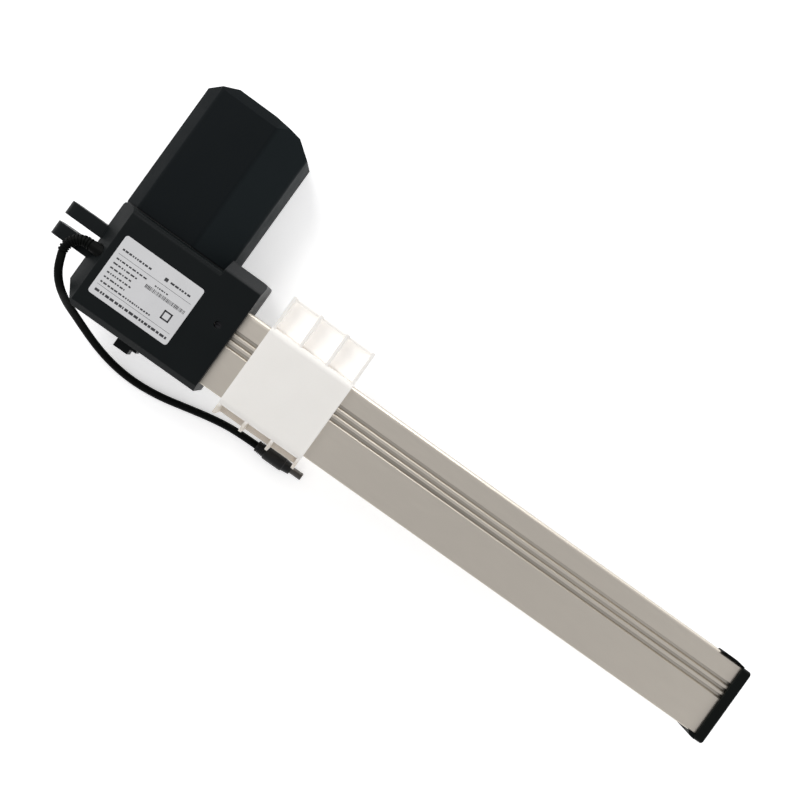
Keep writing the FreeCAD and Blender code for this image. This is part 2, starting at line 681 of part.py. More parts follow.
def bearing_rings():
    inner = []
    outer = []
    for n, start in enumerate(BEARING_STARTS):
        inner.append(ring(f"InnerRing{n}", "x", (start, 0, 0), 5.6, S["journal_radius"], 7.4))
        outer.append(ring(f"OuterRing{n}", "x", (start, 0, 0), 11.0, 9.0, 7.4))
    keep(group("InnerRings", inner), "bearing_inner_rings")
    keep(group("OuterRings", outer), "bearing_outer_rings")


def bearing_balls():
    """Eight balls in each bearing."""
    made = []
    for start in BEARING_STARTS:
        for n in range(8):
            ball = doc.addObject("Part::Sphere", "Ball")
            bind(ball, "Radius", 1.6)
            angle = math.radians(45 * n)
            place(ball, start + 3.7, 7.3 * math.cos(angle), 7.3 * math.sin(angle))
            made.append(ball)
    return keep(group("Balls", made), "bearing_balls")


# ---- rail, its end cap and what is in it ----------------------------------------------------------------

def guide_rail():
    """A C-shaped extrusion with its slot at the back and three grooves in its front face."""
    body = doc.addObject("PartDesign::Body", "RailBody")
    length = S["rail_end"] - S["rail_start"]
    pad(body, "RailBlock", "YZ_Plane",
        rectangle(-S["rail_low"], -S["rail_half"], S["rail_top"], S["rail_half"]), S["rail_start"], length)
    half = S["rail_half"].value
    round_edges(body, "RailTopEdges", 2.9, lambda a, b: abs(a.x - b.x) > 9 and a.y > 0)
    round_edges(body, "RailLowEdges", 0.9, lambda a, b: abs(a.x - b.x) > 9 and a.y < -30)
    pocket(body, "RailHollow", "YZ_Plane",
           rectangle(-S["rail_low"] + S["rail_wall"], -S["rail_half"] + S["rail_wall"],
                     S["rail_top"] - S["rail_wall"], S["rail_half"] - S["rail_wall"]),
           S["rail_start"] - 1, length + 2)
    pocket(body, "RailSlot", "YZ_Plane",
           rectangle(-S["slot_half"], -S["rail_half"] - 1,
                     S["slot_half"], -S["rail_half"] + S["rail_wall"] + 1),
           S["rail_start"] - 1, length + 2)
    bottom = S["rail_half"] - S["groove_deep"]
    for n in range(3):
        top = S["groove_first"] - S["groove_gap"] * n
        low = top - S["groove_wide"]
        pocket(body, f"RailGroove{n}", "YZ_Plane", [
            (top, half), (top, bottom), (low + S["groove_deep"], bottom), (low, half)],
            S["rail_start"] - 1, length + 2)
    hole = rod("RailScrewWay", "z", (*RAIL_SCREW, S["rail_half"] - 4), 1.3, 5)
    return keep(cut("GuideRail", body, [hole]), "guide_rail")


def end_cap():
    """A moulded cap with a plug inside the rail and a clip arm along each edge of it."""
    face = S["rail_end"]
    body = prism("CapPlate", "YZ_Plane",
                 rectangle(-S["rail_low"] - S["cap_lip"], -S["rail_half"] - 1.6,
                           S["rail_top"] - 0.4, S["rail_half"] + 1.8), face, S["cap_thick"])
    far = face.value + S["cap_thick"].value
    round_edges(body, "CapCorners", 3.0, lambda a, b: abs(a.x - b.x) > 5)
    round_edges(body, "CapRim", 1.0, lambda a, b: a.x > far - 0.01 and b.x > far - 0.01)
    inside = S["rail_wall"] + 0.3
    plug = box("CapPlug", (face - 6, -S["rail_low"] + inside, -S["rail_half"] + inside),
               (face + 1, S["rail_top"] - inside, S["rail_half"] - inside))
    top_arm = prism("CapTopArm", "XY_Plane", [
        (face - 18, S["rail_top"]), (face - 17.5, S["rail_top"] + 1.2), (face - 6, S["rail_top"] + 1.3),
        (face + 1, S["rail_top"] + 0.3), (face + 1, S["rail_top"] - 1), (face, S["rail_top"] - 1),
        (face, S["rail_top"])], 8, 8)
    low_arm = prism("CapLowArm", "XY_Plane", [
        (face - 5.5, -S["rail_low"]), (face + 1, -S["rail_low"]), (face + 1, -S["rail_low"] - S["cap_lip"]),
        (face - 3.5, -S["rail_low"] - S["cap_lip"] + 0.8)], 8, 8)
    bore = rod("CapBore", "x", (face - 7, 0, 0), 7.0, 11)
    return keep(cut("EndCap", fuse("CapWhole", [body, plug, top_arm, low_arm]), [bore]), "end_cap")


def end_bush():
    bush = ring("EndBush", "x", (S["rail_end"] - 6, 0, 0), 7.0, S["journal_radius"] + 0.05, 8)
    return keep(bush, "screw_end_bush")


def cap_screws():
    """Two small screws that hold the cap to the rail's end."""
    made = []
    for n, y in enumerate((-24.0, 12.5)):
        head = rod(f"CapScrewHead{n}", "x", (S["rail_end"] + S["cap_thick"], y, 0), 2.6, 1.4)
        slot = box(f"CapScrewSlot{n}", (S["rail_end"] + S["cap_thick"] + 0.7, y - 1.9, -0.35),
                   (S["rail_end"] + S["cap_thick"] + 2, y + 1.9, 0.35))
        made.append(cut(f"CapScrew{n}", head, [slot]))
    return keep(group("CapScrews", made), "cap_screws")


def switch_board():
    """The long circuit strip that carries the two limit switches inside the rail."""
    strip = box("SwitchStrip", (S["rail_start"] + 2, -33.5, -9), (S["rail_end"] - 8, -31.7, 9))
    return keep(strip, "switch_board")


def limit_switches():
    """One switch near each end of the travel."""
    made = []
    for n, x in enumerate((150.0, 468.0)):
        case = box(f"SwitchCase{n}", (x, -31.7, -7), (x + 13, -24.5, -1))
        button = box(f"SwitchButton{n}", (x + 5, -24.5, -5), (x + 7.4, -23.2, -3))
        made.append(fuse(f"Switch{n}", [case, button]))
    return keep(group("LimitSwitches", made), "limit_switches")


# ---- carriage and nut -----------------------------------------------------------------------------------

def carriage_middle():
    return S["carriage_start"] + S["carriage_long"] * 0.5


def drive_nut():
    """A plastic nut on the lead screw, with a neck through the rail's slot."""
    middle = carriage_middle()
    block = box("NutBlock", (middle - 20, -11.8, -11.8), (middle + 20, 11.8, 11.8))
    neck = box("NutNeck", (middle - 17, -S["slot_half"] + 0.6, -S["rail_half"] - 10),
               (middle + 17, S["slot_half"] - 0.6, -11))
    finger = box("NutFinger", (middle - 6, -21.5, -8), (middle + 6, -11, -2))
    bore = rod("NutBore", "x", (middle - 21, 0, 0), S["screw_radius"] + 0.05, 42)
    return keep(cut("DriveNut", fuse("NutWhole", [block, neck, finger]), [bore]), "drive_nut")


def rib_places():
    """Where each of the carriage's cross ribs starts and how thick it is; the outer two are its flanges."""
    start, length = S["carriage_start"], S["carriage_long"]
    flange, rib = S["flange_thick"], S["rib_thick"]
    pitch = (length - flange) * (1.0 / (RIB_COUNT - 1))
    places = []
    for n in range(RIB_COUNT):
        outer = n in (0, RIB_COUNT - 1)
        places.append((start + pitch * n, flange if outer else rib))
    return places


def carriage():
    """The white slider: a sleeve round the rail with open ribbed wings and a cross tube under it."""
    start, length = S["carriage_start"], S["carriage_long"]
    half, front = S["carriage_half"], S["carriage_front"]
    sleeve = prism("Sleeve", "YZ_Plane",
                   rectangle(-S["sleeve_low"], -S["rail_half"] - 4, S["sleeve_top"], front), start, length)
    round_edges(sleeve, "SleeveRounds", 4.4, lambda a, b: abs(a.x - b.x) > 9 and a.z > 10)
    ribs = []
    for n, (place_x, thick) in enumerate(rib_places()):
        ribs.append(prism(f"CarriageRib{n}", "YZ_Plane", [
            (-half, front - 2), (-half, -17), (-half + 14, -S["carriage_foot"]),
            (half - 14, -S["carriage_foot"]), (half, -17), (half, front - 2)], place_x, thick))
    end = start + length
    floors = [
        box("UpperFloor", (start, S["sleeve_top"] - 1, 5), (end, half - 0.4, 7.4)),
        box("UpperLip", (start, half - 2, 5), (end, half - 0.4, 11)),
        box("LowerFloor", (start, -half + 1.2, -3), (end, -S["sleeve_low"] + 1, -0.6)),
    ]
    middle = carriage_middle()
    tube = rod("CarriageTube", "y", (middle, -half, -S["bore_drop"]), S["tube_radius"], half * 2)
    saddle = box("Saddle", (middle - 24, -15, -S["bore_drop"]), (middle + 24, 15, -S["rail_half"] - 3))
    feet = box("CarriageFoot", (start, -7, -S["carriage_foot"]), (end, 7, -S["carriage_foot"] + 2.2))
    whole = fuse("CarriageWhole", [sleeve, tube, saddle, feet] + ribs + floors)
    gap = S["sleeve_gap"]
    way = box("RailWay", (start - 1, -S["rail_low"] - gap, -S["rail_half"] - gap),
              (end + 1, S["rail_top"] + gap, S["rail_half"] + gap))
    neck_way = box("NeckWay", (middle - 17, -S["slot_half"] + 0.6, -S["rail_half"] - 10),
                   (middle + 17, S["slot_half"] - 0.6, -S["rail_half"]))
    bore = rod("CarriageBore", "y", (middle, -half - 1, -S["bore_drop"]), S["bore_radius"], half * 2 + 2)
    return keep(cut("Carriage", whole, [way, neck_way, bore]), "carriage")


# ---- cable, strain relief and plug ----------------------------------------------------------------------

def relief_stations():
    """Points, directions and radii along the bent strain relief, from the housing to its tip."""
    height = S["relief_height"].value
    x0, y0, bend = 23.6, -3.8, 11.0
    stations = [(Vector(x0, y0, height), Vector(-1, 0, 0), 4.3)]
    for n in range(6):
        angle = math.radians(RELIEF_TURN * n / 5)
        centre_x = CABLE_ROUTE[0][0] + bend * math.sin(math.radians(RELIEF_TURN))
        point = Vector(centre_x - bend * math.sin(angle), y0 - bend * (1 - math.cos(angle)), height)
        along = Vector(-math.cos(angle), -math.sin(angle), 0)
        stations.append((point, along, 4.2 - 0.18 * n))
    return stations


def strain_relief():
    """A tapered boot that bends over the lower ear of the clevis."""
    rings = [Part.Wire(Part.makeCircle(radius, point, along)) for point, along, radius in relief_stations()]
    made = doc.addObject("Part::Feature", "StrainRelief")
    made.Shape = Part.makeLoft(rings, True, True)
    made.Placement = Placement()
    return keep(made, "strain_relief")


def route_wire(points):
    """Straight runs joined by tangent arcs as large as the runs allow. Prints the arcs' radii."""
    points = [Vector(*p) for p in points]
    edges, here, radii = [], points[0], []
    for before, corner, after in zip(points, points[1:], points[2:]):
        into, away = corner - before, after - corner
        reach = 0.45 * min(into.Length, away.Length)
        half_turn = into.getAngle(away) / 2
        radii.append(reach / math.tan(half_turn))
        into.normalize()
        away.normalize()
        first, last = corner - into * reach, corner + away * reach
        inward = (away - into).normalize()
        depth = radii[-1] / math.cos(half_turn) - radii[-1]
        edges.append(Part.LineSegment(here, first).toShape())
        edges.append(Part.Arc(first, corner + inward * depth, last).toShape())
        here = last
    edges.append(Part.LineSegment(here, points[-1]).toShape())
    print("cable bend radii, mm:", [round(r, 1) for r in radii])
    return Part.Wire(edges)


def cable():
    wire = route_wire(CABLE_ROUTE)
    radius = S["cable_radius"].value
    start, along = wire.Edges[0].Vertexes[0].Point, wire.Edges[0].tangentAt(0)
    section = Part.Wire(Part.makeCircle(radius, start, along))
    made = doc.addObject("Part::Feature", "Cable")
    made.Shape = wire.makePipeShell([section], True, True)
    made.Placement = Placement()
    wanted = math.pi * radius ** 2 * wire.Length
    print("cable length, mm:", round(wire.Length, 1), "volume ratio:", round(made.Shape.Volume / wanted, 4))
    return keep(made, "cable")


def plug():
    """A straight barrel plug: a black grip and a metal sleeve with an insulated tip."""
    x, y, z = CABLE_ROUTE[-1]
    radius = S["plug_radius"]
    tail = cone("PlugTail", "x", (x, y, z), 4.2, radius - 0.6, 7)
    grip = rod("PlugGripRod", "x", (x + 7, y, z), radius, 17)
    collar = cone("PlugCollar", "x", (x + 24, y, z), radius - 0.7, radius - 1.4, 6)
    keep(fuse("PlugGrip", [tail, grip, collar]), "plug_grip")
    sleeve = ring("PlugSleeve", "x", (x + 30, y, z), 2.75, 1.25, 9.5)
    keep(sleeve, "plug_barrel")


def write_parts():
    doc.recompute()
    for thing in doc.Objects:
        if {"Invalid", "Error"} & set(thing.State):
            raise RuntimeError(f"{thing.Name} ({thing.Label}) failed: {thing.State}")
    os.makedirs("parts", exist_ok=True)
    for piece in pieces:
        shape = piece.Shape
        if shape.isNull() or not shape.isValid() or not shape.Solids:
            raise RuntimeError(f"{piece.Label} has no valid solid")
        print(f"{piece.Label:22s} solids {len(shape.Solids):2d}  volume {shape.Volume:10.1f}")
        shape.exportStep(f"parts/{piece.Label}.step")


for build in (
    front_housing, rear_housing, housing_screws, rail_screw, rating_label, rear_clevis,
    motor_cover, cover_screws, cover_gasket, motor_can, motor_end_bell, brushes, magnets, motor_bushes,
    motor_shaft, armature, windings, commutator, worm, worm_wheel, lead_screw, bearing_rings, bearing_balls,
    guide_rail, end_cap, end_bush, cap_screws, switch_board, limit_switches, drive_nut, carriage,
    strain_relief, cable, plug,
):
    build()

write_parts()
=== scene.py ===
import json
import math
import random
import bpy
from mathutils import Matrix, Vector


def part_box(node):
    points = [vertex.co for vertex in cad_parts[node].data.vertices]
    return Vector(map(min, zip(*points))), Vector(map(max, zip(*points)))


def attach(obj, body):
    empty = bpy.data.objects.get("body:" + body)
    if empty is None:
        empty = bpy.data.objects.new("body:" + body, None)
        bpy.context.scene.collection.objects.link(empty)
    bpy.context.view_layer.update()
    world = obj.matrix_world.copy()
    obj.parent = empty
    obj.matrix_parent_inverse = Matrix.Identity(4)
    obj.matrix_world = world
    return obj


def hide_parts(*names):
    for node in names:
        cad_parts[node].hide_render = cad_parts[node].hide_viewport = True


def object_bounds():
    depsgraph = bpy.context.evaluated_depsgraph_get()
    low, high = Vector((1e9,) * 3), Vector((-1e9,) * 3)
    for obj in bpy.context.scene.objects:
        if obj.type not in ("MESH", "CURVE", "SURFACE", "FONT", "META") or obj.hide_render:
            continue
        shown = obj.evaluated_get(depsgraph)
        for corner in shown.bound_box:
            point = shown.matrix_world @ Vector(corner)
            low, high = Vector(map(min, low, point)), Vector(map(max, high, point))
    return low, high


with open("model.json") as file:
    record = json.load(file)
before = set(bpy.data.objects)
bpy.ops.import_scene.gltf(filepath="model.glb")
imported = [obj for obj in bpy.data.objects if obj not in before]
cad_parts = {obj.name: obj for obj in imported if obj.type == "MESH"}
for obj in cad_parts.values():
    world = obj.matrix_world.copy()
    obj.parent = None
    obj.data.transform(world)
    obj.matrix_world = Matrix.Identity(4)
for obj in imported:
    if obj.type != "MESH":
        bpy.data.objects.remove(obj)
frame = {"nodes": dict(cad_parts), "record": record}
cad_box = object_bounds()
nodes = frame["nodes"]
MM = 0.001
FLOOR_Z = cad_box[0][2]

# The cable's route from the strain relief's tip to the plug, in metres.
CABLE_ROUTE = [
    (-0.0009, -0.0182, 0.0144), (0.0016, -0.0258, 0.0144), (0.0050, -0.0330, 0.0114),
    (0.0084, -0.0388, 0.0054), (0.0112, -0.0434, -0.0034), (0.0136, -0.0472, -0.0126),
    (0.0184, -0.0510, -0.0212), (0.0254, -0.0556, -0.0290), (0.0346, -0.0606, -0.0358),
    (0.0460, -0.0652, -0.0416), (0.0600, -0.0684, -0.0452), (0.0760, -0.0692, -0.0460),
    (0.0950, -0.0672, -0.0460), (0.1140, -0.0628, -0.0460), (0.1330, -0.0584, -0.0452),
    (0.1520, -0.0554, -0.0435), (0.1710, -0.0554, -0.0435),
]
CABLE_DIAMETER = 0.0055

# The strain relief starts inside the housing and bends round to the cable's first point.
RELIEF_START = (0.0236, -0.0038)
RELIEF_BEND = 0.011
RELIEF_TURN = math.radians(108)

# The lead screw's threaded part along the rail, in millimetres.
THREAD_START, THREAD_END = 62.0, 519.0
THREAD_LEAD = 4.0
JOURNAL_RADIUS = 4.0

UP = Vector((0, 0, 1))
ACROSS = Vector((0, 1, 0))
CAMERA_PLACE = Vector((0.19413, 0.03135, 0.6158))
CAMERA_TILT = math.radians(3.6)
CAMERA_TURN = math.radians(35.73)


# ---- camera, light and floor ----------------------------------------------------------------------------

def add_camera():
    """Looks almost straight down on the rail, with the rail turned to run down to the right."""
    back = Vector((-math.sin(CAMERA_TILT), 0, math.cos(CAMERA_TILT)))
    along = Vector((math.cos(CAMERA_TILT), 0, math.sin(CAMERA_TILT)))
    right = along * math.cos(CAMERA_TURN) + ACROSS * math.sin(CAMERA_TURN)
    up = ACROSS * math.cos(CAMERA_TURN) - along * math.sin(CAMERA_TURN)
    data = bpy.data.cameras.new("camera")
    data.lens = 41.07
    data.sensor_width = 36
    data.clip_start = 0.01
    camera = bpy.data.objects.new("camera", data)
    matrix = Matrix.Identity(4)
    for column, vector in enumerate((right, up, back, CAMERA_PLACE)):
        for row in range(3):
            matrix[row][column] = vector[row]
    camera.matrix_world = matrix
    bpy.context.collection.objects.link(camera)
    bpy.context.scene.camera = camera


def add_world():
    """A studio that is bright near the horizon and darker overhead."""
    world = bpy.data.worlds.new("studio")
    bpy.context.scene.world = world
    world.use_nodes = True
    tree = world.node_tree
    coords = tree.nodes.new("ShaderNodeTexCoord")
    split = tree.nodes.new("ShaderNodeSeparateXYZ")
    ramp = tree.nodes.new("ShaderNodeValToRGB")
    ramp.color_ramp.elements[0].position = 0.05
    ramp.color_ramp.elements[0].color = (0.62, 0.62, 0.62, 1)
    ramp.color_ramp.elements[1].position = 0.95
    ramp.color_ramp.elements[1].color = (0.42, 0.42, 0.43, 1)
    background = tree.nodes["Background"]
    background.inputs["Strength"].default_value = 1.15
    tree.links.new(coords.outputs["Generated"], split.inputs[0])
    tree.links.new(split.outputs["Z"], ramp.inputs["Fac"])
    tree.links.new(ramp.outputs["Color"], background.inputs["Color"])


def add_light(name, where, target, size, power):
    """A soft round light at one place, aimed at another."""
    data = bpy.data.lights.new(name, "AREA")
    data.shape = "DISK"
    data.size = size
    data.energy = power
    light = bpy.data.objects.new(name, data)
    light.location = where
    light.rotation_euler = (Vector(target) - Vector(where)).to_track_quat("-Z", "Y").to_euler()
    bpy.context.collection.objects.link(light)


def add_floor():
    """A wide pale floor just below the object."""
    mesh = bpy.data.meshes.new("floor")
    half = 40.0
    corners = [(-half, -half, 0), (half, -half, 0), (half, half, 0), (-half, half, 0)]
    mesh.from_pydata(corners, [], [(0, 1, 2, 3)])
    floor = bpy.data.objects.new("floor", mesh)
    floor.location.z = FLOOR_Z - 0.0002
    bpy.context.collection.objects.link(floor)
    paper = bpy.data.materials.new("paper")
    paper.use_nodes = True
    shader = paper.node_tree.nodes["Principled BSDF"]
    shader.inputs["Base Color"].default_value = (0.93, 0.93, 0.93, 1)
    shader.inputs["Roughness"].default_value = 0.9
    shader.inputs["Emission Color"].default_value = (1, 1, 1, 1)
    shader.inputs["Emission Strength"].default_value = 0.46
    mesh.materials.append(paper)


# ---- materials ------------------------------------------------------------------------------------------

# Stretches a texture along the rail, as drawing the metal through its die does.
ALONG_RAIL = (0.05, 1, 1)

# Where some finishes change, in metres in the object's own axes.
BLOCK_START_Y = (0.0330, 0.0352)
SLOPE_START_X = (0.0625, 0.0655)
RAIL_FRONT_Z = (0.0118, 0.0140)
GROOVE_BOTTOM_Z = (0.0130, 0.0134)
GROOVE_MOUTH_Z = (0.0147, 0.0138)
GROOVES_TOP_Y = (0.0074, 0.0070)
GROOVES_LOW_Y = (-0.0090, -0.0086)
UPPER_WING_Y = (0.0222, 0.0236)
LOWER_WING_Y = (-0.0415, -0.0393)
WING_FLOOR_BACK_Z = (0.0052, 0.0058)
WING_FLOOR_FRONT_Z = (0.0130, 0.0085)


class Finish:
    """A procedural material: colour at two scales, worn edges, mottled roughness and a fine bump."""

    def __init__(self, name, colour, rough, metallic=0.0, specular=0.5):
        self.material = bpy.data.materials.new(name)
        self.material.use_nodes = True
        self.tree = self.material.node_tree
        self.shader = self.tree.nodes["Principled BSDF"]
        self.shader.inputs["Metallic"].default_value = metallic
        self.shader.inputs["Specular IOR Level"].default_value = specular
        self.colour = colour
        self.rough = rough
        self.coords = self.add("ShaderNodeTexCoord").outputs["Object"]
        # A mask of painted shade, where the finish has one.
        self.painted_shade = None
        # A colour by place for painted light and shade, where the finish has one.
        self.tone = None

    def add(self, kind):
        return self.tree.nodes.new(kind)

    def link(self, source, target):
        self.tree.links.new(source, target)

    def noise(self, scale, stretch=(1, 1, 1), detail=3.0):
        """Noise in the object's own coordinates, stretched along its axes."""
        mapping = self.add("ShaderNodeMapping")
        mapping.inputs["Scale"].default_value = [scale * s for s in stretch]
        texture = self.add("ShaderNodeTexNoise")
        texture.inputs["Scale"].default_value = 1.0
        texture.inputs["Detail"].default_value = detail
        self.link(self.coords, mapping.inputs["Vector"])
        self.link(mapping.outputs["Vector"], texture.inputs["Vector"])
        return texture.outputs["Fac"]

    def span(self, value, low, high, from_low=0.3, from_high=0.7):
        """Maps a value onto a range."""
        node = self.add("ShaderNodeMapRange")
        limits = {"From Min": from_low, "From Max": from_high, "To Min": low, "To Max": high}
        for socket, number in limits.items():
            node.inputs[socket].default_value = number
        self.link(value, node.inputs["Value"])
        return node.outputs["Result"]

    def ramp(self, axis, ends):
        """Goes from 0 to 1 as a point's place along one of the object's axes goes between two ends."""
        split = self.add("ShaderNodeSeparateXYZ")
        self.link(self.coords, split.inputs[0])
        return self.span(split.outputs[axis], 0, 1, *ends)

    def product(self, factors):
        """Multiplies several values together."""
        total = factors[0]
        for factor in factors[1:]:
            node = self.add("ShaderNodeMath")
            node.operation = "MULTIPLY"
            self.link(total, node.inputs[0])
            self.link(factor, node.inputs[1])
            total = node.outputs[0]
        return total

    def mix(self, factor, first, second):
        """Goes from the first colour to the second as the factor goes from 0 to 1."""
        node = self.add("ShaderNodeMix")
        node.data_type = "RGBA"
        sockets = (node.inputs["Factor"], node.inputs[6], node.inputs[7])
        for socket, value in zip(sockets, (factor, first, second)):
            if isinstance(value, float):
                socket.default_value = value
            elif isinstance(value, tuple):
                socket.default_value = (*value, 1)
            else:
                self.link(value, socket)
        return node.outputs[2]

    def shade(self, times):
        """The finish's colour made lighter or darker."""
        return tuple(min(1.0, c * times) for c in self.colour)

    def rounded(self, radius):
        """A normal that rounds sharp edges, and how near a point is to such an edge."""
        bevel = self.add("ShaderNodeBevel")
        bevel.samples = 6
        bevel.inputs["Radius"].default_value = radius
        geometry = self.add("ShaderNodeNewGeometry")
        dot = self.add("ShaderNodeVectorMath")
        dot.operation = "DOT_PRODUCT"
        self.link(bevel.outputs["Normal"], dot.inputs[0])
        self.link(geometry.outputs["Normal"], dot.inputs[1])
        return bevel.outputs["Normal"], self.span(dot.outputs["Value"], 1.0, 0.0, 0.80, 0.995)

    def build(self, vary, vary_scale, grain_scale, bump, stretch=(1, 1, 1), edge=0.0003, wear=0.25,
              wear_colour=None):
        """Joins the whole material up and gives it back."""
        normal, near_edge = self.rounded(edge)
        clouds = self.noise(vary_scale, stretch)
        grain = self.noise(grain_scale, stretch, detail=2.0)
        body = self.mix(self.span(clouds, 0, 1), self.shade(1 - vary), self.shade(1 + vary))
        # Painted light and shade: the finish's colour by place is mixed in here.
        if self.tone is not None:
            body = self.mix(0.85, body, self.tone)
        speckled = self.mix(self.span(grain, 0, 0.35), body, self.shade(1 + 2 * vary))
        scuff = self.product([near_edge, self.span(self.noise(420), 0, wear)])
        worn = self.mix(scuff, speckled, wear_colour or self.shade(2.2))
        # Painted shade: darkens the colour by the finish's mask of shaded grooves, where it has one.
        if self.painted_shade is not None:
            worn = self.mix(self.painted_shade, worn, self.shade(0.2))
        self.link(worn, self.shader.inputs["Base Color"])
        self.link(self.span(clouds, self.rough * 0.88, self.rough * 1.12), self.shader.inputs["Roughness"])
        relief = self.add("ShaderNodeBump")
        relief.inputs["Strength"].default_value = bump
        relief.inputs["Distance"].default_value = 0.0002
        self.link(grain, relief.inputs["Height"])
        self.link(normal, relief.inputs["Normal"])
        self.link(relief.outputs["Normal"], self.shader.inputs["Normal"])
        return self.material


def textured(finish, bump=0.22):
    """Builds a finish as moulded dark plastic with a fine grain and rubbed edges."""
    return finish.build(vary=0.16, vary_scale=45, grain_scale=2600, bump=bump, edge=0.0009, wear=0.35,
                        wear_colour=(0.045, 0.05, 0.05))


def case_plastic():
    """The housing's dark plastic, with a painted highlight that colours its raised block lighter."""
    finish = Finish("case_plastic_look", (0.0033, 0.0050, 0.0054), 0.42, specular=0.13)
    # Painted highlight: the raised block is coloured lighter in place of the light its bevel catches.
    finish.tone = finish.mix(finish.ramp("Y", BLOCK_START_Y), finish.colour, (0.037, 0.038, 0.039))
    return textured(finish)


def cover_plastic():
    """The motor cover's dark plastic, with painted light that colours its sloping right face a little
    lighter.
    """
    finish = Finish("cover_plastic_look", (0.0058, 0.0078, 0.0088), 0.55, specular=0.055)
    # Painted light: the sloping right face is coloured lighter in place of the light that falls on it.
    finish.tone = finish.mix(finish.ramp("X", SLOPE_START_X), finish.colour, (0.0115, 0.0155, 0.0170))
    return textured(finish)


def groove_painted_shade(finish):
    """How much painted shade a point gets: only inside the three grooves of the rail's front, and unevenly
    there.
    """
    return finish.product([
        finish.ramp("Z", GROOVE_MOUTH_Z), finish.ramp("Z", GROOVE_BOTTOM_Z),
        finish.ramp("Y", GROOVES_TOP_Y), finish.ramp("Y", GROOVES_LOW_Y),
        finish.span(finish.noise(60, ALONG_RAIL), 0.15, 0.6),
    ])


def rail_aluminium():
    """Satin anodised metal, with painted shade that darkens its sides and back and its long grooves."""
    finish = Finish("rail_satin", (0.755, 0.695, 0.605), 0.36, metallic=1.0)
    # Painted shade: the sides and back are coloured darker than the front in place of the shade on them.
    finish.tone = finish.mix(finish.ramp("Z", RAIL_FRONT_Z), (0.42, 0.385, 0.335), finish.colour)
    # Painted shade: the groove bottoms are darkened in place of the shade inside them.
    finish.painted_shade = groove_painted_shade(finish)
    return finish.build(vary=0.025, vary_scale=1500, grain_scale=6000, bump=0.05, stretch=ALONG_RAIL,
                        edge=0.0004, wear=0.3, wear_colour=(0.85, 0.84, 0.82))


def nylon():
    """Milky nylon. The upper wing's floor is coloured lighter and glows faintly as painted light; the lower
    wing is coloured darker as painted shade.
    """
    finish = Finish("white_nylon", (0.93, 0.893, 0.848), 0.42)
    # Painted light: the upper wing's floor is coloured lighter and made to glow faintly.
    upper = finish.product([finish.ramp("Y", UPPER_WING_Y), finish.ramp("Z", WING_FLOOR_FRONT_Z),
                            finish.ramp("Z", WING_FLOOR_BACK_Z)])
    # Painted shade: the lower wing is coloured darker beige in place of the shade in its bays.
    finish.tone = finish.mix(finish.ramp("Y", LOWER_WING_Y), (0.62, 0.56, 0.48), finish.colour)
    finish.tone = finish.mix(upper, finish.tone, (0.96, 0.94, 0.91))
    # Painted light: the faint glow of the upper wing's floor.
    finish.shader.inputs["Emission Color"].default_value = (1.0, 0.97, 0.93, 1)
    finish.link(finish.span(upper, 0, 0.21, 0, 1), finish.shader.inputs["Emission Strength"])
    finish.shader.inputs["Subsurface Weight"].default_value = 0.45
    finish.shader.inputs["Subsurface Radius"].default_value = (1.0, 1.0, 1.0)
    finish.shader.inputs["Subsurface Scale"].default_value = 0.003
    return finish.build(vary=0.04, vary_scale=50, grain_scale=1700, bump=0.08, edge=0.0009, wear=0.5,
                        wear_colour=(0.95, 0.93, 0.90))


def cap_plastic():
    """The end cap's smoother black plastic."""
    return textured(Finish("cap_plastic_look", (0.0024, 0.0036, 0.0030), 0.42, specular=0.09), bump=0.1)


def metal(name, colour, rough):
    """A plain metal with a fine grain and bright worn edges."""
    finish = Finish(name, colour, rough, metallic=1.0)
    return finish.build(vary=0.08, vary_scale=120, grain_scale=1800, bump=0.12, wear=0.5)


def plain(name, colour, rough, vary=0.06, grain=1500, bump=0.08, specular=0.5):
    """A plastic, rubber or printed surface."""
    finish = Finish(name, colour, rough, specular=specular)
    return finish.build(vary=vary, vary_scale=80, grain_scale=grain, bump=bump)


